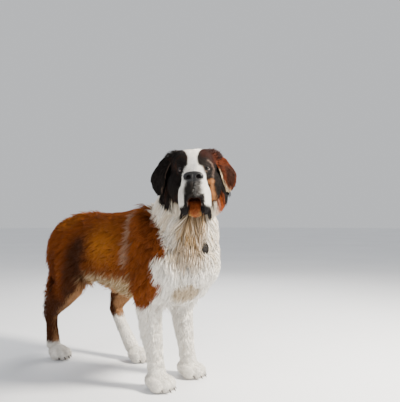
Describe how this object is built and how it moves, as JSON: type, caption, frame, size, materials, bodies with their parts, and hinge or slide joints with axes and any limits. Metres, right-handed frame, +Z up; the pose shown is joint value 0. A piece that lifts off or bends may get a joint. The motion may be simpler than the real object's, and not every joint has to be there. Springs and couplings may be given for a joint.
{
  "type": "saint bernard model",
  "caption": "Still, life-size model of a standing, long-haired Saint Bernard dog with its head turned to its right, made to stand on a floor.",
  "frame": {"origin": "on the floor, under the middle of the whole animal's box", "axes": "+Z up; the dog faces -Y, so +Y is towards its tail and +X is its left side"},
  "size_m": [0.464, 1.2402, 0.9804],
  "materials": {
    "rust_coat": "long, soft, rust-red dog coat, matt with a low sheen along the hair",
    "white_coat": "white dog coat, long on the ruff and short on the legs, matt",
    "dark_coat": "short black-brown facial coat round a white blaze and muzzle",
    "brown_coat": "dark brown to tan long coat with feathering",
    "tan_coat": "short tan and white coat of the chin",
    "nose_leather": "moist black nose pad with fine pebbling",
    "eye": "dark brown, wet and glossy",
    "collar_leather": "worn brown leather band",
    "tag_metal": "dark, worn metal, bare of any text"
  },
  "bodies": {
    "root": {"torso": "rust_coat", "neck": "white_coat", "head": "dark_coat", "lower_jaw": "tan_coat", "nose": "nose_leather", "eye_right": "eye", "eye_left": "eye", "ear_right": "dark_coat", "ear_left": "rust_coat", "foreleg_right": "white_coat", "foreleg_left": "white_coat", "hindleg_right": "brown_coat", "hindleg_left": "brown_coat", "paw_fore_right": "white_coat", "paw_fore_left": "white_coat", "paw_hind_right": "white_coat", "paw_hind_left": "white_coat", "tail": "rust_coat", "collar": "collar_leather", "tag": "tag_metal", "tag_ring": "tag_metal"}
  },
  "joints": []
}
